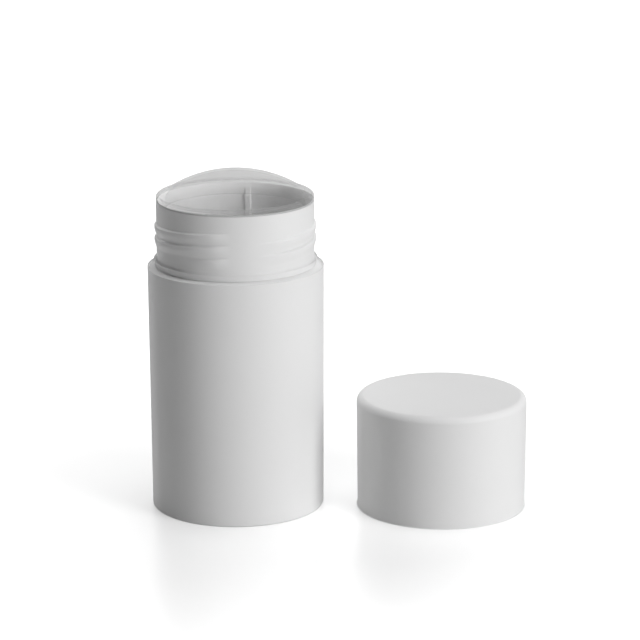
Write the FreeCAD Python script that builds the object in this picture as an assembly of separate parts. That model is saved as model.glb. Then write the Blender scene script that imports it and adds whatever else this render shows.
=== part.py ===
import FreeCAD, Part
import math
import os

# Round twist-up deodorant stick container, open, with its screw cap standing mouth down beside it.
# Millimetres, +Z up. The origin is on the container's axis, in the plane that it stands on.
# Every radius and height below is of the container itself; the cap is moved to its place at the end.

Vector = FreeCAD.Vector

# Outer shell: a slightly tapered sleeve with a flat shoulder on top
FOOT_RADIUS = 23.15
SHOULDER_RADIUS = 23.5
SHOULDER_HEIGHT = 66.5
SHELL_WALL = 1.2
SHOULDER_THICKNESS = 1.3
SHELL_EDGE_ROUND = 0.45
CENTRING_RIBS = 8
CENTRING_RIB_WIDTH = 1.2
TUBE_HOLE_CLEARANCE = 0.05

# Inner tube: the product tube, whose upper end is the threaded neck
BORE_RADIUS = 19.7
TUBE_RADIUS = 21.0
TUBE_FOOT_HEIGHT = 0.6
NECK_TOP = 84.0
MOUTH_LEAD_IN_WIDTH = 0.85
MOUTH_LEAD_IN_DEPTH = 1.4
COLLAR_RADIUS = 21.75
COLLAR_HEIGHT = 2.05
COLLAR_EDGE_ROUND = 0.4
FLOOR_BOTTOM = 10.8
FLOOR_THICKNESS = 1.6
KEY_RIBS = 4
KEY_RIB_ANGLE = 81.5
KEY_RIB_WIDTH = 1.6
KEY_RIB_DEPTH = 0.6
KEY_RIB_TOP = 80.5
SNAP_BEAD_RADIUS = 21.3
SNAP_BEAD_BOTTOM = 2.2
SNAP_BEAD_LEAD_IN = 0.6
SNAP_BEAD_HEIGHT = 1.0
SNAP_BEAD_GAP = 0.1

# Neck and cap thread: right-handed, two starts, interrupted at the mould's parting line
THREAD_LEAD = 6.7
THREAD_STARTS = 2
THREAD_HEIGHT = 0.55
THREAD_BASE_WIDTH = 2.4
THREAD_CREST_WIDTH = 0.8
THREAD_TURN = 406.0
PARTING_ANGLE = 276.8
PARTING_GAP = 6.1
THREAD_END_HEIGHT = 78.45

# Dome seal: a clear pressed-in lid with a beaded flange, a plug skirt and a domed middle
FLANGE_RADIUS = 21.0
FLANGE_FLOOR = 84.95
BEAD_TOP = 85.5
BEAD_WIDTH = 1.2
BEAD_ROUND = 0.5
DOME_WALL_RADIUS = 19.35
DOME_SPHERE_RADIUS = 33.9
DOME_TOP = 91.7
DOME_SPRING_ROUND = 4.0
DOME_THICKNESS = 0.8
SKIRT_RADIUS = 19.5
SKIRT_BOTTOM = 81.0
SKIRT_EDGE_ROUND = 0.3

# Spindle with its turning wheel, one moulding, left-handed so that a clockwise turn
# seen from below lifts the platform
SPINDLE_LEAD = 4.5
SPINDLE_CORE_RADIUS = 2.6
SPINDLE_CREST_RADIUS = 3.6
SPINDLE_RIDGE_BASE = 2.3
SPINDLE_RIDGE_CREST = 1.1
SPINDLE_TOP = 78.5
SPINDLE_THREAD_START = 15.0
SPINDLE_THREAD_TURNS = 13.8
JOURNAL_RADIUS = 3.97
BEARING_RADIUS = 4.05
THRUST_RING_RADIUS = 6.5
CATCH_RADIUS = 4.35
CATCH_HEIGHT = 0.85
CATCH_EDGE = 0.3
SPINDLE_END_ROUND = 0.8
WHEEL_RADIUS = 19.2
WHEEL_WALL = 1.3
WHEEL_BOTTOM = 1.0
WHEEL_WEB_BOTTOM = 8.0
WHEEL_WEB_THICKNESS = 1.4
WHEEL_EDGE_ROUND = 0.5
GRIP_BAR_WIDTH = 3.2
GRIP_BAR_ROUND = 0.6
GRIP_RIBS = 24
GRIP_RIB_WIDTH = 0.8
GRIP_RIB_DEPTH = 0.5
END_PLAY = 0.12

# Platform: the piston that carries the stick, with the nut for the spindle
PLATFORM_RADIUS = 19.45
PLATFORM_TOP = 21.8
PLATFORM_THICKNESS = 1.6
PLATFORM_SKIRT_DEPTH = 5.8
PLATFORM_WALL = 1.1
NUT_RADIUS = 6.0
NUT_BOTTOM = 13.8
NUT_CLEARANCE = 0.2
TAP_TURNS = 4
KEY_NOTCH_CLEARANCE = 0.3
ANCHOR_RING_RADIUS = 10.5
ANCHOR_RING_HEIGHT = 2.4
ANCHOR_WALL = 1.0
ANCHOR_FINS = 4
ANCHOR_FIN_END = 16.95
ANCHOR_FIN_HEIGHT = 1.8

# Cap: a plain single-wall screw cap
CAP_MOUTH_RADIUS = 23.2
CAP_TOP_RADIUS = 22.8
CAP_HEIGHT = 30.7
CAP_TOP_ROUND = 1.9
CAP_WALL = 1.25
CAP_TOP_THICKNESS = 1.5
CAP_CEILING_ROUND = 0.8
CAP_THREAD_INNER_RADIUS = 21.3
CAP_THREAD_START = 4.2
CAP_THREAD_TURN = 165.0
CAP_PLACE = Vector(55.0, -2.9, 0)

# Small roundings: edges that are only broken, moulded edges and inner corners
BROKEN_EDGE = 0.2
MOULDED_EDGE = 0.3
INNER_CORNER = 0.5

# How far a rib, ridge or fin runs into the wall that carries it, so that the two are one solid
ROOT_DEPTH = 0.3


def corner_arc(corner, before, after, radius):
    """Start, middle and end of the arc that rounds a corner between two neighbours."""
    to_before = (before - corner).normalize()
    to_after = (after - corner).normalize()
    half_angle = to_before.getAngle(to_after) / 2
    setback = radius / math.tan(half_angle)
    depth = radius / math.sin(half_angle) - radius
    inward = (to_before + to_after).normalize()
    return corner + to_before * setback, corner + inward * depth, corner + to_after * setback


def outline_wire(corners):
    """Closed wire in the XZ plane through (r, z) corners; a third number rounds that corner."""
    points = [Vector(corner[0], 0, corner[1]) for corner in corners]
    arcs = []
    for index, corner in enumerate(corners):
        here = points[index]
        if len(corner) == 2:
            arcs.append((here, None, here))
        else:
            following = points[(index + 1) % len(points)]
            arcs.append(corner_arc(here, points[index - 1], following, corner[2]))
    edges = []
    for index, (start, middle, end) in enumerate(arcs):
        if middle:
            edges.append(Part.Arc(start, middle, end).toShape())
        next_start = arcs[(index + 1) % len(arcs)][0]
        if end.distanceToPoint(next_start) > 1e-6:
            edges.append(Part.LineSegment(end, next_start).toShape())
    return Part.Wire(edges)


def turned(wire):
    """Solid made by turning a closed wire of the XZ plane about Z."""
    return Part.Face(wire).revolve(Vector(0, 0, 0), Vector(0, 0, 1), 360)


def ring(inner, outer, bottom, top):
    return turned(outline_wire([(inner, bottom), (outer, bottom), (outer, top), (inner, top)]))


def radial_bar(inner, outer, width, bottom, top, angle):
    """Straight bar that runs outward from the axis at an angle in degrees."""
    bar = Part.makeBox(outer - inner, width, top - bottom, Vector(inner, -width / 2, bottom))
    bar.rotate(Vector(0, 0, 0), Vector(0, 0, 1), angle)
    return bar


def helical_ridge(lead, turn, wall, crest, base_width, crest_width, left_handed=False):
    """Ridge of trapezoid section on a wall, along a helix from angle 0 with its middle at z 0.

    Its flanks run on below the wall's surface by ROOT_DEPTH.
    """
    height = crest - wall
    buried = wall - math.copysign(ROOT_DEPTH, height)
    buried_width = base_width + (base_width - crest_width) * ROOT_DEPTH / abs(height)
    section = Part.makePolygon([
        Vector(buried, 0, -buried_width / 2),
        Vector(crest, 0, -crest_width / 2),
        Vector(crest, 0, crest_width / 2),
        Vector(buried, 0, buried_width / 2),
        Vector(buried, 0, -buried_width / 2),
    ])
    helix = Part.makeHelix(lead, lead * turn / 360, wall, 0, left_handed)
    return Part.Wire(helix.Edges).makePipeShell([section], True, True)


def fused(first, *others):
    return first.fuse(list(others)).removeSplitter()


def outer_shell():
    inner_foot = FOOT_RADIUS - SHELL_WALL
    inner_top = SHOULDER_RADIUS - SHELL_WALL
    ledge_bottom = SHOULDER_HEIGHT - SHOULDER_THICKNESS
    hole = TUBE_RADIUS + TUBE_HOLE_CLEARANCE
    shell = turned(outline_wire([
        (inner_foot, 0, MOULDED_EDGE),
        (FOOT_RADIUS, 0, SHELL_EDGE_ROUND),
        (SHOULDER_RADIUS, SHOULDER_HEIGHT, SHELL_EDGE_ROUND),
        (hole, SHOULDER_HEIGHT, BROKEN_EDGE),
        (hole, ledge_bottom),
        (inner_top, ledge_bottom, INNER_CORNER),
    ]))
    # The ribs centre the tube, and their lower ends hold its snap bead down
    rib_bottom = SNAP_BEAD_BOTTOM + SNAP_BEAD_HEIGHT + SNAP_BEAD_GAP
    ribs = []
    for index in range(CENTRING_RIBS):
        angle = 360 / CENTRING_RIBS * index
        ribs.append(radial_bar(hole, inner_top + ROOT_DEPTH, CENTRING_RIB_WIDTH,
                               rib_bottom, ledge_bottom + ROOT_DEPTH, angle))
    return fused(shell, *ribs)


def neck_thread():
    """Both starts of the neck's thread, with the gaps at the mould's parting line."""
    turn_rise = THREAD_LEAD * THREAD_TURN / 360
    starts = []
    for index in range(THREAD_STARTS):
        ridge = helical_ridge(THREAD_LEAD, THREAD_TURN, TUBE_RADIUS, TUBE_RADIUS + THREAD_HEIGHT,
                              THREAD_BASE_WIDTH, THREAD_CREST_WIDTH)
        ridge.rotate(Vector(0, 0, 0), Vector(0, 0, 1), PARTING_ANGLE - THREAD_TURN + 180 * index)
        ridge.translate(Vector(0, 0, THREAD_END_HEIGHT - turn_rise))
        starts.append(ridge)
    gap = Part.makeBox(4 * TUBE_RADIUS, PARTING_GAP, NECK_TOP,
                       Vector(-2 * TUBE_RADIUS, -PARTING_GAP / 2, 0))
    gap.rotate(Vector(0, 0, 0), Vector(0, 0, 1), PARTING_ANGLE)
    return [piece for ridge in starts for piece in ridge.cut(gap).Solids]


def inner_tube():
    """The neck's mouth has a lead-in for the seal's plug skirt."""
    floor_top = FLOOR_BOTTOM + FLOOR_THICKNESS
    collar_top = SHOULDER_HEIGHT + COLLAR_HEIGHT
    bead_top = SNAP_BEAD_BOTTOM + SNAP_BEAD_HEIGHT
    tube = turned(outline_wire([
        (BORE_RADIUS, TUBE_FOOT_HEIGHT),
        (TUBE_RADIUS, TUBE_FOOT_HEIGHT, MOULDED_EDGE),
        (TUBE_RADIUS, SNAP_BEAD_BOTTOM),
        (SNAP_BEAD_RADIUS, SNAP_BEAD_BOTTOM + SNAP_BEAD_LEAD_IN),
        (SNAP_BEAD_RADIUS, bead_top),
        (TUBE_RADIUS, bead_top),
        (TUBE_RADIUS, SHOULDER_HEIGHT),
        (COLLAR_RADIUS, SHOULDER_HEIGHT, BROKEN_EDGE),
        (COLLAR_RADIUS, collar_top, COLLAR_EDGE_ROUND),
        (TUBE_RADIUS, collar_top),
        (TUBE_RADIUS, NECK_TOP, BROKEN_EDGE),
        (BORE_RADIUS + MOUTH_LEAD_IN_WIDTH, NECK_TOP),
        (BORE_RADIUS, NECK_TOP - MOUTH_LEAD_IN_DEPTH),
        (BORE_RADIUS, floor_top, INNER_CORNER),
        (BEARING_RADIUS, floor_top),
        (BEARING_RADIUS, FLOOR_BOTTOM),
        (BORE_RADIUS, FLOOR_BOTTOM),
    ]))
    ribs = []
    for index in range(KEY_RIBS):
        angle = KEY_RIB_ANGLE + 360 / KEY_RIBS * index
        ribs.append(radial_bar(BORE_RADIUS - KEY_RIB_DEPTH, BORE_RADIUS + ROOT_DEPTH, KEY_RIB_WIDTH,
                               floor_top - ROOT_DEPTH, KEY_RIB_TOP, angle))
    return fused(tube, *ribs, *neck_thread())


def section_arc(middle, radius, start, end):
    """Arc in the XZ plane between two angles, which count from level up to the top."""
    points = []
    for angle in (start, (start + end) / 2, end):
        points.append(middle + Vector(radius * math.cos(angle), 0, radius * math.sin(angle)))
    return Part.Arc(*points).toShape()


def dome_seal():
    """The dome's wall keeps its thickness round its shoulder and runs on down as the plug skirt."""
    sphere_middle = Vector(0, 0, DOME_TOP - DOME_SPHERE_RADIUS)
    spring_radius = DOME_WALL_RADIUS - DOME_SPRING_ROUND
    spring_distance = DOME_SPHERE_RADIUS - DOME_SPRING_ROUND
    spring_rise = math.sqrt(spring_distance ** 2 - spring_radius ** 2)
    spring_middle = sphere_middle + Vector(spring_radius, 0, spring_rise)
    sphere_edge = math.atan2(spring_rise, spring_radius)
    floor_edge = math.asin((FLANGE_FLOOR - spring_middle.z) / DOME_SPRING_ROUND)
    top = math.pi / 2
    dome = [
        section_arc(spring_middle, DOME_SPRING_ROUND, floor_edge, sphere_edge),
        section_arc(sphere_middle, DOME_SPHERE_RADIUS, sphere_edge, top),
        Part.makeLine(Vector(0, 0, DOME_TOP), Vector(0, 0, DOME_TOP - DOME_THICKNESS)),
        section_arc(sphere_middle, DOME_SPHERE_RADIUS - DOME_THICKNESS, top, sphere_edge),
        section_arc(spring_middle, DOME_SPRING_ROUND - DOME_THICKNESS, sphere_edge, 0),
    ]
    skirt_inner = DOME_WALL_RADIUS - DOME_THICKNESS
    flange = Part.makePolygon([
        Vector(skirt_inner, 0, spring_middle.z),
        Vector(skirt_inner, 0, SKIRT_BOTTOM),
        Vector(SKIRT_RADIUS, 0, SKIRT_BOTTOM),
        Vector(SKIRT_RADIUS, 0, NECK_TOP),
        Vector(FLANGE_RADIUS, 0, NECK_TOP),
        Vector(FLANGE_RADIUS, 0, BEAD_TOP),
        Vector(FLANGE_RADIUS - BEAD_WIDTH, 0, BEAD_TOP),
        Vector(FLANGE_RADIUS - BEAD_WIDTH, 0, FLANGE_FLOOR),
        dome[0].Vertexes[0].Point,
    ])
    seal = turned(Part.Wire(flange.Edges + dome))
    seal = rounded_rim(seal, BEAD_TOP, BEAD_ROUND)
    return rounded_rim(seal, SKIRT_BOTTOM, SKIRT_EDGE_ROUND)


def rounded_rim(solid, height, radius):
    """The solid with its round edges at a height rounded off."""
    rim = []
    for edge in solid.Edges:
        box = edge.BoundBox
        if box.ZLength < 1e-6 and abs(box.ZMax - height) < 1e-6:
            rim.append(edge)
    return solid.makeFillet(radius, rim)


def spindle_ridge(clearance, first_turn, turns):
    """The spindle's thread, or with a clearance the groove it needs, in the same phase."""
    ridge = helical_ridge(SPINDLE_LEAD, 360 * turns, SPINDLE_CORE_RADIUS, SPINDLE_CREST_RADIUS + clearance,
                          SPINDLE_RIDGE_BASE + 2 * clearance, SPINDLE_RIDGE_CREST + 2 * clearance,
                          left_handed=True)
    ridge.rotate(Vector(0, 0, 0), Vector(0, 0, 1), -360 * first_turn)
    ridge.translate(Vector(0, 0, SPINDLE_THREAD_START + SPINDLE_LEAD * first_turn))
    return ridge


def spindle_wheel():
    floor_top = FLOOR_BOTTOM + FLOOR_THICKNESS
    web_top = WHEEL_WEB_BOTTOM + WHEEL_WEB_THICKNESS
    thrust_top = FLOOR_BOTTOM - END_PLAY
    catch_bottom = floor_top + END_PLAY
    catch_top = catch_bottom + CATCH_HEIGHT
    turned_body = turned(outline_wire([
        (0, WHEEL_WEB_BOTTOM),
        (WHEEL_RADIUS - WHEEL_WALL, WHEEL_WEB_BOTTOM, INNER_CORNER),
        (WHEEL_RADIUS - WHEEL_WALL, WHEEL_BOTTOM, MOULDED_EDGE),
        (WHEEL_RADIUS, WHEEL_BOTTOM, WHEEL_EDGE_ROUND),
        (WHEEL_RADIUS, web_top, WHEEL_EDGE_ROUND),
        (THRUST_RING_RADIUS, web_top),
        (THRUST_RING_RADIUS, thrust_top),
        (JOURNAL_RADIUS, thrust_top),
        (JOURNAL_RADIUS, catch_bottom),
        (CATCH_RADIUS, catch_bottom),
        (CATCH_RADIUS, catch_bottom + CATCH_EDGE),
        (SPINDLE_CREST_RADIUS, catch_top),
        (SPINDLE_CORE_RADIUS, catch_top),
        (SPINDLE_CORE_RADIUS, SPINDLE_TOP, SPINDLE_END_ROUND),
        (0, SPINDLE_TOP),
    ]))
    inside = WHEEL_RADIUS - WHEEL_WALL
    rooted = inside + ROOT_DEPTH
    bar = Part.makeBox(2 * rooted, GRIP_BAR_WIDTH, WHEEL_WEB_BOTTOM - WHEEL_BOTTOM + ROOT_DEPTH,
                       Vector(-rooted, -GRIP_BAR_WIDTH / 2, WHEEL_BOTTOM))
    lower_long_edges = [edge for edge in bar.Edges
                        if edge.BoundBox.XLength > inside and edge.BoundBox.ZMax < WHEEL_BOTTOM + 0.01]
    bar = bar.makeFillet(GRIP_BAR_ROUND, lower_long_edges)
    grips = []
    for index in range(GRIP_RIBS):
        angle = 360 / GRIP_RIBS * (index + 0.5)
        grips.append(radial_bar(inside - GRIP_RIB_DEPTH, rooted, GRIP_RIB_WIDTH,
                                WHEEL_BOTTOM + GRIP_RIB_DEPTH, WHEEL_WEB_BOTTOM + ROOT_DEPTH, angle))
    return fused(turned_body, bar, *grips, spindle_ridge(0, 0, SPINDLE_THREAD_TURNS))


def platform():
    disc_bottom = PLATFORM_TOP - PLATFORM_THICKNESS
    inner = PLATFORM_RADIUS - PLATFORM_WALL
    body = turned(outline_wire([
        (0, NUT_BOTTOM),
        (NUT_RADIUS, NUT_BOTTOM, MOULDED_EDGE),
        (NUT_RADIUS, disc_bottom, INNER_CORNER),
        (inner, disc_bottom, INNER_CORNER),
        (inner, disc_bottom - PLATFORM_SKIRT_DEPTH),
        (PLATFORM_RADIUS, disc_bottom - PLATFORM_SKIRT_DEPTH, MOULDED_EDGE),
        (PLATFORM_RADIUS, PLATFORM_TOP, MOULDED_EDGE),
        (0, PLATFORM_TOP),
    ]))
    anchor_top = PLATFORM_TOP + ANCHOR_RING_HEIGHT
    rooted = PLATFORM_TOP - ROOT_DEPTH
    anchor = ring(ANCHOR_RING_RADIUS - ANCHOR_WALL, ANCHOR_RING_RADIUS, rooted, anchor_top)
    fins = []
    for index in range(ANCHOR_FINS):
        angle = KEY_RIB_ANGLE + 360 / ANCHOR_FINS * (index + 0.5)
        fins.append(radial_bar(ANCHOR_RING_RADIUS - ANCHOR_WALL / 2, ANCHOR_FIN_END, ANCHOR_WALL,
                               rooted, PLATFORM_TOP + ANCHOR_FIN_HEIGHT, angle))
    below = NUT_BOTTOM - 1
    above = PLATFORM_TOP + 1
    notch_floor = BORE_RADIUS - KEY_RIB_DEPTH - KEY_NOTCH_CLEARANCE
    notch_width = KEY_RIB_WIDTH + 2 * KEY_NOTCH_CLEARANCE
    notches = []
    for index in range(KEY_RIBS):
        angle = KEY_RIB_ANGLE + 360 / KEY_RIBS * index
        notches.append(radial_bar(notch_floor, BORE_RADIUS + 1, notch_width, below, above, angle))
    # The nut is cut by a tap with the spindle's own thread, larger by the clearance; its core
    # stands out by one turn past both ends of its thread
    tap_core = Part.makeCylinder(SPINDLE_CORE_RADIUS + NUT_CLEARANCE, (TAP_TURNS + 2) * SPINDLE_LEAD,
                                 Vector(0, 0, SPINDLE_THREAD_START - 2 * SPINDLE_LEAD))
    tap = fused(tap_core, spindle_ridge(NUT_CLEARANCE, -1, TAP_TURNS))
    return fused(body, anchor, *fins).cut(notches + [tap]).removeSplitter()


def cap():
    inner_mouth = CAP_MOUTH_RADIUS - CAP_WALL
    inner_top = CAP_TOP_RADIUS - CAP_WALL
    ceiling = CAP_HEIGHT - CAP_TOP_THICKNESS
    body = turned(outline_wire([
        (inner_mouth, 0, BROKEN_EDGE),
        (CAP_MOUTH_RADIUS, 0, MOULDED_EDGE),
        (CAP_TOP_RADIUS, CAP_HEIGHT, CAP_TOP_ROUND),
        (0, CAP_HEIGHT),
        (0, ceiling),
        (inner_top, ceiling, CAP_CEILING_ROUND),
    ]))
    thread = []
    for index in range(THREAD_STARTS):
        ridge = helical_ridge(THREAD_LEAD, CAP_THREAD_TURN, inner_mouth, CAP_THREAD_INNER_RADIUS,
                              THREAD_BASE_WIDTH, THREAD_CREST_WIDTH)
        ridge.rotate(Vector(0, 0, 0), Vector(0, 0, 1), 180 * index)
        ridge.translate(Vector(0, 0, CAP_THREAD_START))
        thread.append(ridge)
    whole = fused(body, *thread)
    whole.translate(CAP_PLACE)
    return whole


SUB_PARTS = {
    "outer_shell": outer_shell,
    "inner_tube": inner_tube,
    "dome_seal": dome_seal,
    "spindle_wheel": spindle_wheel,
    "platform": platform,
    "cap": cap,
}

os.makedirs("parts", exist_ok=True)
for node, make in SUB_PARTS.items():
    shape = make()
    shape.exportStep("parts/" + node + ".step")
    print(node, "solids", len(shape.Solids), "valid", shape.isValid(),
          "volume", round(shape.Volume / 1000, 2), "ml", "faces", len(shape.Faces))
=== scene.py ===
import math

import bmesh
import bpy
from mathutils import Euler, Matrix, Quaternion, Vector


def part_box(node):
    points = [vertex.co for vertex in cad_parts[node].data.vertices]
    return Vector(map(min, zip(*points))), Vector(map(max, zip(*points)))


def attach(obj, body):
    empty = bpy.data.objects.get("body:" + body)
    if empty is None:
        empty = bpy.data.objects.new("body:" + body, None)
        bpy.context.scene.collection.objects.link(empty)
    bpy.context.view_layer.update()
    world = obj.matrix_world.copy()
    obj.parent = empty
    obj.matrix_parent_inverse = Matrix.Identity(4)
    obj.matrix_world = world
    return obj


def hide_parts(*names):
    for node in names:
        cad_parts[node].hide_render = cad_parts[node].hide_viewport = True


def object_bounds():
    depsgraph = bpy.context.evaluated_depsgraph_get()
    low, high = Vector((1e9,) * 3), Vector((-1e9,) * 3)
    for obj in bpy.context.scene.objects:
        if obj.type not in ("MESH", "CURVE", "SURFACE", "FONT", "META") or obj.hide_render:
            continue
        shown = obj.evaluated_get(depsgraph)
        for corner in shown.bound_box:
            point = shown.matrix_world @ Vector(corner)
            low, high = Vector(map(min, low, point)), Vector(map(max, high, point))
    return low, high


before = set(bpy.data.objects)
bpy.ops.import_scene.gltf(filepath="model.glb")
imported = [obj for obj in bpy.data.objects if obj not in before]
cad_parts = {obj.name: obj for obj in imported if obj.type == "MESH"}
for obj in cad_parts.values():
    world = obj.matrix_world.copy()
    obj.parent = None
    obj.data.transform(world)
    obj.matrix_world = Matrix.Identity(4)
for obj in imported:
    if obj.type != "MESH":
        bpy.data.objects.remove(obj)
cad_low, cad_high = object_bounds()


# Outer shell: the sleeve that a hand holds, slightly wider at its shoulder than at its foot.
# Injection-moulded white polypropylene, with eight thin ribs inside that centre the product tube.
MM = 0.001


class Wire:
    """A node's output. Arithmetic on it adds Math nodes to its tree."""

    def __init__(self, tree, socket=None):
        self.tree = tree
        self.socket = socket

    def node(self, kind, settings=None, inputs=None, output=0):
        """Adds a node. Its settings come first, then the values or links of its sockets."""
        made = self.tree.nodes.new(kind)
        for key, value in (settings or {}).items():
            setattr(made, key, value)
        for key, value in (inputs or {}).items():
            if isinstance(value, Wire):
                self.tree.links.new(value.socket, made.inputs[key])
            else:
                made.inputs[key].default_value = value
        return Wire(self.tree, made.outputs[output] if made.outputs else None)

    def math(self, operation, *values):
        """A Math node on wires or numbers."""
        return self.node("ShaderNodeMath", {"operation": operation}, dict(enumerate(values)))

    def __add__(self, other):
        return self.math("ADD", self, other)

    def __radd__(self, other):
        return self.math("ADD", other, self)

    def __mul__(self, other):
        return self.math("MULTIPLY", self, other)

    def __rmul__(self, other):
        return self.math("MULTIPLY", other, self)


def new_shader(name):
    """A material with an empty tree, and the wire that its nodes start from."""
    material = bpy.data.materials.new(name)
    material.use_nodes = True
    material.node_tree.nodes.clear()
    return material, Wire(material.node_tree)


def grey_colour(level):
    """A neutral colour, as a colour socket takes it."""
    return (level, level, level, 1)


def within(place, radius):
    """1 nearer to the container's axis than a radius, and 0 farther out."""
    flat = place.node("ShaderNodeVectorMath", {"operation": "MULTIPLY"}, {0: place, 1: (1, 1, 0)})
    reach = place.node("ShaderNodeVectorMath", {"operation": "LENGTH"}, {0: flat}, output="Value")
    return place.math("LESS_THAN", reach, radius)


def white_plastic(name, grey, roughness, bore=0.0, bore_painted_light=0.0, painted_shadow_above=None):
    """Moulded white polypropylene: satin, with a faint grain and slow waves where it shrank.

    Inside the bore the colour is painted lighter by a set amount: painted light, in place of the
    light that comes in through the thin wall.
    Above a set height the outside is painted greyer: a painted shadow line under a lid's flange,
    where it sits on the rim.
    """
    colour_waver = 0.012
    roughness_waver = 0.1
    painted_shadow_grey = 0.5
    material, start = new_shader(name)
    place = start.node("ShaderNodeTexCoord", output="Object")
    waves = start.node("ShaderNodeTexNoise", inputs={
        "Vector": place, "Scale": 45.0, "Detail": 2.0})
    grain = start.node("ShaderNodeTexNoise", inputs={
        "Vector": place, "Scale": 2600.0, "Detail": 3.0})
    darker = grey_colour(grey - colour_waver)
    lighter = grey_colour(grey + colour_waver)
    colour = start.node(
        "ShaderNodeMix", {"data_type": "RGBA"}, {"Factor": waves, "A": darker, "B": lighter},
        output="Result")
    # Painted shadow: the top band of the outside is coloured grey, for the shade under the lid's
    # flange.
    if painted_shadow_above:
        height = start.node("ShaderNodeSeparateXYZ", inputs={"Vector": place}, output="Z")
        in_painted_shadow = start.math("GREATER_THAN", height, painted_shadow_above)
        colour = start.node(
            "ShaderNodeMix", {"data_type": "RGBA"},
            {"Factor": in_painted_shadow, "A": colour, "B": grey_colour(painted_shadow_grey)},
            output="Result")
    # Painted light: the bore is coloured lighter, in place of light coming through the thin wall.
    if bore_painted_light:
        colour = start.node(
            "ShaderNodeMix", {"data_type": "RGBA"},
            {"Factor": within(place, bore), "A": colour, "B": grey_colour(grey + bore_painted_light)},
            output="Result")
    relief = start.node("ShaderNodeBump", inputs={
        "Height": waves + 0.05 * grain, "Strength": 0.25, "Distance": 0.05 * MM})
    surface = start.node("ShaderNodeBsdfPrincipled", inputs={
        "Base Color": colour,
        "Roughness": (roughness - roughness_waver / 2) + roughness_waver * grain,
        "IOR": 1.49,
        "Normal": relief,
    })
    start.node("ShaderNodeOutputMaterial", inputs={"Surface": surface})
    return material


def rounded(corners, steps=8):
    """Outline through (r, z) corners; a third number rounds that corner with an arc."""
    outline = []
    for index, corner in enumerate(corners):
        here = Vector(corner[:2])
        if len(corner) == 2:
            outline.append(here)
            continue
        to_before = (Vector(corners[index - 1][:2]) - here).normalized()
        to_after = (Vector(corners[(index + 1) % len(corners)][:2]) - here).normalized()
        half = to_before.angle(to_after) / 2
        middle = here + (to_before + to_after).normalized() * (corner[2] / math.sin(half))
        first = here + to_before * (corner[2] / math.tan(half)) - middle
        sweep = (math.pi - 2 * half) * (1 if first.cross(to_after) > 0 else -1)
        for step in range(steps + 1):
            turn = sweep * step / steps
            outline.append(middle + Vector((
                first.x * math.cos(turn) - first.y * math.sin(turn),
                first.x * math.sin(turn) + first.y * math.cos(turn))))
    return outline


def turned_piece(name, outline, relief=None, axis=(0.0, 0.0), segments=480):
    """Mesh made by turning a closed outline about an upright axis.

    relief(angle, r, z) moves a point outward, with the angle in degrees.
    """
    on_axis = 1e-7
    sharp_edge = math.radians(40)
    sheet = bmesh.new()
    rows = []
    for radius, z in outline:
        if radius < on_axis:
            rows.append([sheet.verts.new((axis[0], axis[1], z))])
            continue
        row = []
        for index in range(segments):
            angle = 360 * index / segments
            reach = radius + (relief(angle, radius, z) if relief else 0)
            row.append(sheet.verts.new((
                axis[0] + reach * math.cos(math.radians(angle)),
                axis[1] + reach * math.sin(math.radians(angle)), z)))
        rows.append(row)
    for index, row in enumerate(rows):
        above = rows[(index + 1) % len(rows)]
        if len(row) == 1 and len(above) == 1:
            continue
        for side in range(segments):
            following = (side + 1) % segments
            ring = [row[side % len(row)], row[following % len(row)],
                    above[following % len(above)], above[side % len(above)]]
            # Next to the axis two of the corners are one point, and the face is a triangle.
            sheet.faces.new(list(dict.fromkeys(ring)))
    bmesh.ops.recalc_face_normals(sheet, faces=sheet.faces)
    mesh = bpy.data.meshes.new(name)
    sheet.to_mesh(mesh)
    sheet.free()
    mesh.shade_smooth()
    mesh.set_sharp_from_angle(angle=sharp_edge)
    piece = bpy.data.objects.new(name, mesh)
    bpy.context.scene.collection.objects.link(piece)
    even = piece.modifiers.new("even_normals", "WEIGHTED_NORMAL")
    even.keep_sharp = True
    even.weight = 100
    return piece


def stands_for(piece, node, body, material):
    """The piece takes a CAD node's place, rides on its body and gets its finish."""
    piece.data.materials.append(material)
    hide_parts(node)
    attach(piece, body)


shell_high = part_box("outer_shell")[1]
shoulder_radius = shell_high.x
shoulder_height = shell_high.z
shell_taper = 0.35 * MM
foot_radius = shoulder_radius - shell_taper
shell_wall = 1.2 * MM
ledge_thickness = 1.3 * MM
ledge_underside = shoulder_height - ledge_thickness
tube_hole = 21.05 * MM
shell_edge_round = 0.45 * MM
shell_inner_edge_round = 0.3 * MM
tube_hole_round = 0.2 * MM
ledge_corner_round = 0.5 * MM
ledge_corner_depth = 0.6 * MM
centring_rib_count = 8
centring_rib_width = 1.2 * MM
centring_rib_foot = 3.35 * MM
wall_leeway = 0.1 * MM
row_gap = 0.05 * MM
shell_outline = rounded([
    (foot_radius - shell_wall, 0, shell_inner_edge_round),
    (foot_radius, 0, shell_edge_round),
    (shoulder_radius, shoulder_height, shell_edge_round),
    (tube_hole, shoulder_height, tube_hole_round),
    (tube_hole, ledge_underside),
    (shoulder_radius - shell_wall, ledge_underside, ledge_corner_round),
    (shoulder_radius - shell_wall, ledge_underside - ledge_corner_depth),
    (foot_radius - shell_wall, centring_rib_foot + row_gap),
    (foot_radius - shell_wall, centring_rib_foot - row_gap),
])


def centring_ribs(angle, radius, z):
    """The ribs inside the sleeve reach in to the tube between its foot and the ledge."""
    narrowest = foot_radius - shell_wall - wall_leeway
    widest = shoulder_radius - shell_wall + wall_leeway
    if not narrowest < radius < widest or not centring_rib_foot < z < ledge_underside + wall_leeway:
        return 0
    half_spacing = 180 / centring_rib_count
    off_rib = abs((angle + half_spacing) % (2 * half_spacing) - half_spacing)
    if math.radians(off_rib) * radius > centring_rib_width / 2:
        return 0
    return tube_hole - radius


shell = turned_piece("shell_sleeve", shell_outline, centring_ribs)
shell_white = white_plastic("shell_white", grey=0.80, roughness=0.34)
stands_for(shell, "outer_shell", "barrel", shell_white)


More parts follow.
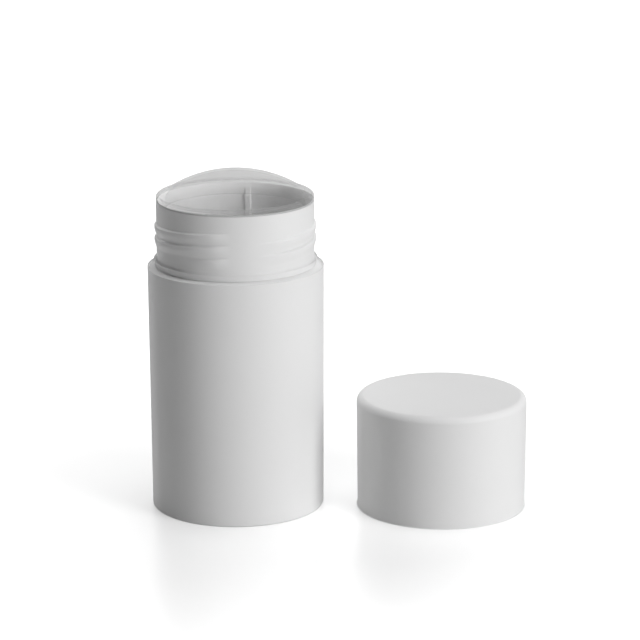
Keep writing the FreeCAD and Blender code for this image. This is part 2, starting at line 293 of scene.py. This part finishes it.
# Product tube: holds the stick, and its upper end is the neck with the thread for the cap.
# One moulding with a collar, a double-start thread broken at the two parting lines of its
# mould, and four ribs in the bore that keep the platform from turning.
tube_low, tube_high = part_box("inner_tube")
neck_top = tube_high.z
tube_foot = tube_low.z
neck_radius = 21.0 * MM
bore_radius = 19.7 * MM
collar_radius = 21.75 * MM
collar_height = 2.05 * MM
collar_top = shoulder_height + collar_height
collar_foot_round = 0.15 * MM
collar_top_round = 0.4 * MM
tube_foot_round = 0.3 * MM
neck_rim_round = 0.25 * MM
mouth_lead_in_width = 0.85 * MM
mouth_lead_in_depth = 1.4 * MM
# Height of the band at the top of the neck that is painted grey, as a painted shadow under the
# seal's flange.
painted_shadow_band = 0.35 * MM
snap_bead_radius = 21.3 * MM
snap_bead_foot = 2.2 * MM
snap_bead_lead_in = 0.6 * MM
snap_bead_top = 3.2 * MM
tube_floor_top = 12.4 * MM
tube_floor_bottom = 10.8 * MM
tube_floor_round = 0.1 * MM
bearing_radius = 4.05 * MM
thread_lead = 6.7 * MM
thread_height = 0.5 * MM
thread_half_crest = 0.3 * MM
thread_upper_flank = 0.5 * MM
thread_lower_flank = 2.3 * MM
thread_turn = 406
thread_run_out = 32
thread_end = 78.8 * MM
parting_angle = 276.8
parting_half_gap = 3.05 * MM
parting_left_taper = 5.5 * MM
parting_right_taper = 11.0 * MM
key_rib_angle = 81.5
key_rib_half_width = 0.8 * MM
key_rib_depth = 0.6 * MM
key_rib_top = 80.5 * MM
key_rib_foot = 12.5 * MM


def eased(share):
    """0 to 1 with level ends, for a share of the way that is cut off at 0 and 1."""
    share = min(max(share, 0), 1)
    return share * share * (3 - 2 * share)


def ridge_share(above_middle):
    """The ridge's height as a share of its crest's; its lower flank is the gentler one."""
    if above_middle > 0:
        return eased(1 - (above_middle - thread_half_crest) / thread_upper_flank)
    return eased(1 - (-above_middle - thread_half_crest) / thread_lower_flank)


def neck_thread(angle, z):
    """How far the thread's ridges stand out of the neck; they fade out at the parting lines."""
    off_parting = (angle - parting_angle + 90) % 180 - 90
    past_gap = math.radians(abs(off_parting)) * neck_radius - parting_half_gap
    if past_gap < 0:
        return 0
    tallest = 0
    for start in (0, 180):
        behind = (parting_angle + start - angle) % 360
        while behind <= thread_turn:
            share = ridge_share(z - (thread_end - thread_lead * behind / 360))
            tallest = max(tallest, share * eased((thread_turn - behind) / thread_run_out))
            behind += 360
    taper = parting_right_taper if off_parting > 0 else parting_left_taper
    return thread_height * tallest * eased(past_gap / taper)


def tube_relief(angle, radius, z):
    """The thread stands out of the neck, and the key ribs stand in the bore."""
    same_wall = 0.001 * MM
    if abs(radius - neck_radius) < same_wall and z > collar_top:
        return neck_thread(angle, z)
    if abs(radius - bore_radius) < same_wall and key_rib_foot < z < key_rib_top:
        off_rib = abs((angle - key_rib_angle + 45) % 90 - 45)
        if math.radians(off_rib) * radius < key_rib_half_width:
            return -key_rib_depth
    return 0


thread_rows = 96
thread_rows_foot = collar_top + 2 * row_gap
thread_rows_top = 80.0 * MM
thread_row = (thread_rows_top - thread_rows_foot) / thread_rows
tube_outline = rounded([
    (bore_radius, tube_foot),
    (neck_radius, tube_foot, tube_foot_round),
    (neck_radius, snap_bead_foot),
    (snap_bead_radius, snap_bead_foot + snap_bead_lead_in),
    (snap_bead_radius, snap_bead_top),
    (neck_radius, snap_bead_top),
    (neck_radius, shoulder_height),
    (collar_radius, shoulder_height, collar_foot_round),
    (collar_radius, collar_top, collar_top_round),
    (neck_radius, collar_top),
    *[(neck_radius, thread_rows_foot + thread_row * row) for row in range(thread_rows + 1)],
    (neck_radius, neck_top, neck_rim_round),
    (bore_radius + mouth_lead_in_width, neck_top),
    (bore_radius, neck_top - mouth_lead_in_depth),
    (bore_radius, key_rib_top),
    (bore_radius, key_rib_top - row_gap),
    (bore_radius, key_rib_foot + 2 * row_gap),
    (bore_radius, tube_floor_top, tube_floor_round),
    (bearing_radius, tube_floor_top),
    (bearing_radius, tube_floor_bottom),
    (bore_radius, tube_floor_bottom),
])
tube = turned_piece("product_tube", tube_outline, tube_relief)
# Painted light and shade: the bore is coloured lighter, and a thin band at the top of the neck's
# outside is coloured grey as a shadow under the seal's flange.
tube_white = white_plastic(
    "tube_white", grey=0.80, roughness=0.36, bore=bore_radius + mouth_lead_in_width, bore_painted_light=0.16,
    painted_shadow_above=neck_top - painted_shadow_band)
stands_for(tube, "inner_tube", "barrel", tube_white)


# Spindle and wheel: one white moulding. The wheel is turned from below by its bar and ribs, and
# the left-handed screw runs up through the tube's floor, where a catch keeps it.
wheel_white = white_plastic("wheel_white", grey=0.79, roughness=0.4)
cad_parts["spindle_wheel"].data.materials.clear()
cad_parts["spindle_wheel"].data.materials.append(wheel_white)


# Platform: the white piston that carries the stick. Its nut is on the screw, and its ring and
# fins grip the product.
platform_white = white_plastic("platform_white", grey=0.79, roughness=0.4)
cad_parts["platform"].data.materials.clear()
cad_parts["platform"].data.materials.append(platform_white)


# Dome seal: milky clear polypropylene, pressed into the neck by a plug skirt, with a beaded
# flange on the rim and a domed middle that shapes the top of the stick.
seal_low, seal_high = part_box("dome_seal")
dome_top = seal_high.z
skirt_bottom = seal_low.z
flange_radius = seal_high.x
flange_floor = 84.95 * MM
bead_top = 85.5 * MM
bead_width = 1.2 * MM
bead_round = 0.5 * MM
skirt_radius = 19.5 * MM
skirt_inner_round = 0.2 * MM
skirt_outer_round = 0.3 * MM
dome_thickness = 0.8 * MM
dome_wall_radius = 19.35 * MM
dome_sphere = 33.9 * MM
dome_spring_round = 4.0 * MM
sphere_middle = dome_top - dome_sphere


def clear_plastic(name):
    """Clear polypropylene: glossy, a little milky, and light passes through it to the inside."""
    material, start = new_shader(name)
    place = start.node("ShaderNodeTexCoord", output="Object")
    haze = start.node("ShaderNodeTexNoise", inputs={"Vector": place, "Scale": 60.0, "Detail": 1.0})
    clear = start.node("ShaderNodeBsdfPrincipled", inputs={
        "Base Color": grey_colour(0.96),
        "Roughness": 0.015 + 0.01 * haze,
        "IOR": 1.002,
        "Transmission Weight": 1.0,
        "Coat Weight": 0.03,
        "Coat Roughness": 0.05,
        "Coat IOR": 1.49,
    })
    front_milk = start.node("ShaderNodeBsdfDiffuse", inputs={"Color": grey_colour(0.85)})
    back_milk = start.node("ShaderNodeBsdfTranslucent", inputs={"Color": grey_colour(0.85)})
    milk = start.node("ShaderNodeMixShader", inputs={0: 0.5, 1: front_milk, 2: back_milk})
    milkiness = 0.07 + 0.02 * haze
    surface = start.node("ShaderNodeMixShader", inputs={0: milkiness, 1: clear, 2: milk})
    through = start.node("ShaderNodeBsdfTransparent", inputs={"Color": grey_colour(0.98)})
    shadow_ray = start.node("ShaderNodeLightPath", output="Is Shadow Ray")
    diffuse_ray = start.node("ShaderNodeLightPath", output="Is Diffuse Ray")
    mixed = start.node("ShaderNodeMixShader", inputs={
        0: shadow_ray + diffuse_ray, 1: surface, 2: through})
    start.node("ShaderNodeOutputMaterial", inputs={"Surface": mixed})
    return material


def arc(middle_r, middle_z, radius, start, end, steps):
    """Points (r, z) of an arc between two angles, which count from level up to the top."""
    angles = [start + (end - start) * step / steps for step in range(steps + 1)]
    return [(middle_r + radius * math.cos(turn), middle_z + radius * math.sin(turn))
            for turn in angles]


spring_r = dome_wall_radius - dome_spring_round
spring_z = sphere_middle + math.sqrt((dome_sphere - dome_spring_round) ** 2 - spring_r ** 2)
sphere_edge = math.atan2(spring_z - sphere_middle, spring_r)
floor_edge = math.asin((flange_floor - spring_z) / dome_spring_round)
inner_spring_round = dome_spring_round - dome_thickness
skirt_inner = spring_r + inner_spring_round
spring_steps = 16
dome_steps = 80
seal_outline = rounded([
    (skirt_inner, skirt_bottom, skirt_inner_round),
    (skirt_radius, skirt_bottom, skirt_outer_round),
    (skirt_radius, neck_top),
    (flange_radius, neck_top),
    (flange_radius, bead_top, bead_round),
    (flange_radius - bead_width, bead_top, bead_round),
    (flange_radius - bead_width, flange_floor),
    *arc(spring_r, spring_z, dome_spring_round, floor_edge, sphere_edge, spring_steps),
    *arc(0, sphere_middle, dome_sphere, sphere_edge, math.pi / 2, dome_steps)[1:-1],
    (0, dome_top),
    (0, dome_top - dome_thickness),
    *arc(0, sphere_middle, dome_sphere - dome_thickness, math.pi / 2, sphere_edge, dome_steps)[1:],
    *arc(spring_r, spring_z, inner_spring_round, sphere_edge, 0, spring_steps)[1:],
])
seal = turned_piece("dome_lid", seal_outline, segments=360)
seal_clear = clear_plastic("seal_clear")
stands_for(seal, "dome_seal", "seal", seal_clear)


# Cap: a plain white screw cap, standing mouth down beside the container. One moulding with a
# flat top, a rounded top edge and the matching thread inside its mouth.
cap_low, cap_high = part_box("cap")
cap_axis = ((cap_low.x + cap_high.x) / 2, (cap_low.y + cap_high.y) / 2)
cap_mouth = (cap_high.x - cap_low.x) / 2
cap_height = cap_high.z
cap_taper = 0.4 * MM
cap_top_radius = cap_mouth - cap_taper
cap_wall = 1.25 * MM
cap_top_thickness = 1.5 * MM
cap_ceiling = cap_height - cap_top_thickness
cap_top_round = 1.9 * MM
cap_ceiling_round = 0.8 * MM
cap_mouth_round = 0.3 * MM
cap_inner_mouth_round = 0.2 * MM
cap_thread_crest = 21.3 * MM
cap_thread_start = 4.2 * MM
cap_thread_turn = 165
cap_rows = 60
cap_rows_top = 9 * MM
cap_rows_foot = 1 * MM
cap_rows_lean = 0.1 * MM


def cap_thread(angle, radius, z):
    """The ridges inside the cap's mouth, which run under those of the neck."""
    widest = cap_mouth - cap_wall + wall_leeway
    if not cap_thread_crest < radius < widest or not cap_rows_foot <= z <= cap_rows_top:
        return 0
    reach = 0
    for start in (0, 180):
        along = (angle - start) % 360
        if along < cap_thread_turn:
            share = ridge_share(z - cap_thread_start - thread_lead * along / 360)
            ends = min(along, cap_thread_turn - along)
            reach = max(reach, share * eased(ends))
    return -reach * (radius - cap_thread_crest)


cap_row_heights = [cap_rows_top - (cap_rows_top - cap_rows_foot) * row / cap_rows
                   for row in range(cap_rows + 1)]
cap_outline = rounded([
    (cap_mouth - cap_wall, 0, cap_inner_mouth_round),
    (cap_mouth, 0, cap_mouth_round),
    (cap_top_radius, cap_height, cap_top_round),
    (0, cap_height),
    (0, cap_ceiling),
    (cap_top_radius - cap_wall, cap_ceiling, cap_ceiling_round),
    *[(cap_mouth - cap_wall - cap_rows_lean * z / cap_rows_top, z) for z in cap_row_heights],
], steps=12)
cap = turned_piece("screw_cap", cap_outline, cap_thread, cap_axis)
cap_white = white_plastic("cap_white", grey=0.82, roughness=0.34)
stands_for(cap, "cap", "cap", cap_white)


# Set: a plain white board under the object, a pale surround, soft lights and the camera.
# The board is smooth enough to mirror the foot of the object faintly.
def studio_floor(between):
    """A smooth white board that keeps the object's shadow; its glow is painted dimmer near a point
    and stronger away from it.
    """
    material, start = new_shader("floor_white")
    place = start.node("ShaderNodeTexCoord", output="Object")
    grain = start.node("ShaderNodeTexNoise", inputs={"Vector": place, "Scale": 30.0})
    camera_ray = start.node("ShaderNodeLightPath", output="Is Camera Ray")
    clear_ray = start.node("ShaderNodeLightPath", output="Is Transmission Ray")
    glossy_ray = start.node("ShaderNodeLightPath", output="Is Glossy Ray")
    board = start.node("ShaderNodeBsdfDiffuse", inputs={"Color": grey_colour(0.8)})
    away = start.node("ShaderNodeVectorMath", {"operation": "DISTANCE"}, {0: place, 1: between},
                      output="Value")
    # The board is white to the camera, and gives next to no light to the object.
    # Painted shade and light: the glow is dimmer within a few centimetres of the pieces, darkening
    # the floor round their foot, and stronger farther off, paling their cast shadow.
    painted_floor_shading = start.node("ShaderNodeMapRange", {"interpolation_type": "SMOOTHSTEP"}, {
        "Value": away, "From Min": 0.045, "From Max": 0.16, "To Min": 0.57, "To Max": 1.0})
    strength = 0.9 * camera_ray + 0.02 * (clear_ray + glossy_ray)
    glow = start.node("ShaderNodeEmission", inputs={"Color": painted_floor_shading, "Strength": strength})
    lit = start.node("ShaderNodeAddShader", inputs={0: board, 1: glow})
    gloss = start.node("ShaderNodeBsdfGlossy", inputs={
        "Color": grey_colour(1), "Roughness": 0.26 + 0.02 * grain})
    both = start.node("ShaderNodeMixShader", inputs={0: 0.3, 1: lit, 2: gloss})
    start.node("ShaderNodeOutputMaterial", inputs={"Surface": both})
    return material


floor_half = 3.0
floor_corners = [(-floor_half, -floor_half, 0), (floor_half, -floor_half, 0),
                 (floor_half, floor_half, 0), (-floor_half, floor_half, 0)]
floor_mesh = bpy.data.meshes.new("floor")
floor_mesh.from_pydata(floor_corners, [], [(0, 1, 2, 3)])
between_pieces = ((cad_low.x + cad_high.x) / 2, 0, 0)
floor_mesh.materials.append(studio_floor(between_pieces))
floor = bpy.data.objects.new("floor", floor_mesh)
bpy.context.scene.collection.objects.link(floor)

world = bpy.data.worlds.new("surround")
world.use_nodes = True
world.node_tree.nodes.clear()
air = Wire(world.node_tree)
camera_ray = air.node("ShaderNodeLightPath", output="Is Camera Ray")
clear_ray = air.node("ShaderNodeLightPath", output="Is Transmission Ray")
glossy_ray = air.node("ShaderNodeLightPath", output="Is Glossy Ray")
direction = air.node("ShaderNodeTexCoord", output="Generated")
toward_back = air.node("ShaderNodeSeparateXYZ", inputs={"Vector": direction}, output="Y")
backdrop = air.node("ShaderNodeMapRange", {"interpolation_type": "SMOOTHSTEP"}, {
    "Value": toward_back, "From Min": 0.8, "From Max": 0.97})
# White to the camera, paler grey behind clear plastic and in gloss, and hardly a lamp.
mirrored_sky = (0.55 + 0.4 * backdrop) * glossy_ray
strength = 0.03 + 0.97 * camera_ray + 0.55 * clear_ray + mirrored_sky
sky = air.node("ShaderNodeBackground", inputs={"Color": grey_colour(1), "Strength": strength})
air.node("ShaderNodeOutputWorld", inputs={"Surface": sky})
bpy.context.scene.world = world


lamp_distance = 2.0


def soft_light(name, azimuth, elevation, width, height, power, mirrored=True):
    """A softbox that faces the middle of the object; azimuth runs from +X to +Y, in degrees."""
    lamp = bpy.data.lights.new(name, "AREA")
    lamp.shape = "RECTANGLE"
    lamp.size = width
    lamp.size_y = height
    lamp.energy = power
    box = bpy.data.objects.new(name, lamp)
    out = Vector((
        math.cos(math.radians(azimuth)) * math.cos(math.radians(elevation)),
        math.sin(math.radians(azimuth)) * math.cos(math.radians(elevation)),
        math.sin(math.radians(elevation))))
    box.location = (cad_low + cad_high) / 2 + lamp_distance * out
    box.rotation_euler = out.to_track_quat("Z", "Y").to_euler()
    box.visible_camera = False
    box.visible_glossy = mirrored
    box.visible_transmission = mirrored
    bpy.context.scene.collection.objects.link(box)


soft_light("key_light", azimuth=322, elevation=15, width=0.84, height=1.5, power=34.5,
           mirrored=False)
soft_light("top_light", azimuth=0, elevation=88, width=0.8, height=0.8, power=15.2,
           mirrored=False)
soft_light("left_back_light", azimuth=130, elevation=20, width=0.8, height=0.8, power=3.5)
soft_light("back_light", azimuth=75, elevation=35, width=0.8, height=0.8, power=6.6,
           mirrored=False)

aim = Vector((22.4, 0, 50.6)) * MM
camera_distance = 795.2 * MM
camera_tilt = math.radians(14.877)
camera_roll = math.radians(-0.234)
camera_data = bpy.data.cameras.new("camera")
camera_data.lens = 166.94
camera_data.sensor_width = 36.0
camera_data.clip_start = 0.05
camera_data.clip_end = 20.0
camera = bpy.data.objects.new("camera", camera_data)
camera.location = aim + camera_distance * Vector((0, -math.cos(camera_tilt), math.sin(camera_tilt)))
level_aim = Euler((math.pi / 2 - camera_tilt, 0, 0)).to_quaternion()
camera.rotation_euler = (level_aim @ Quaternion((0, 0, 1), camera_roll)).to_euler()
bpy.context.scene.collection.objects.link(camera)
bpy.context.scene.camera = camera
bpy.context.scene.view_settings.view_transform = "Standard"
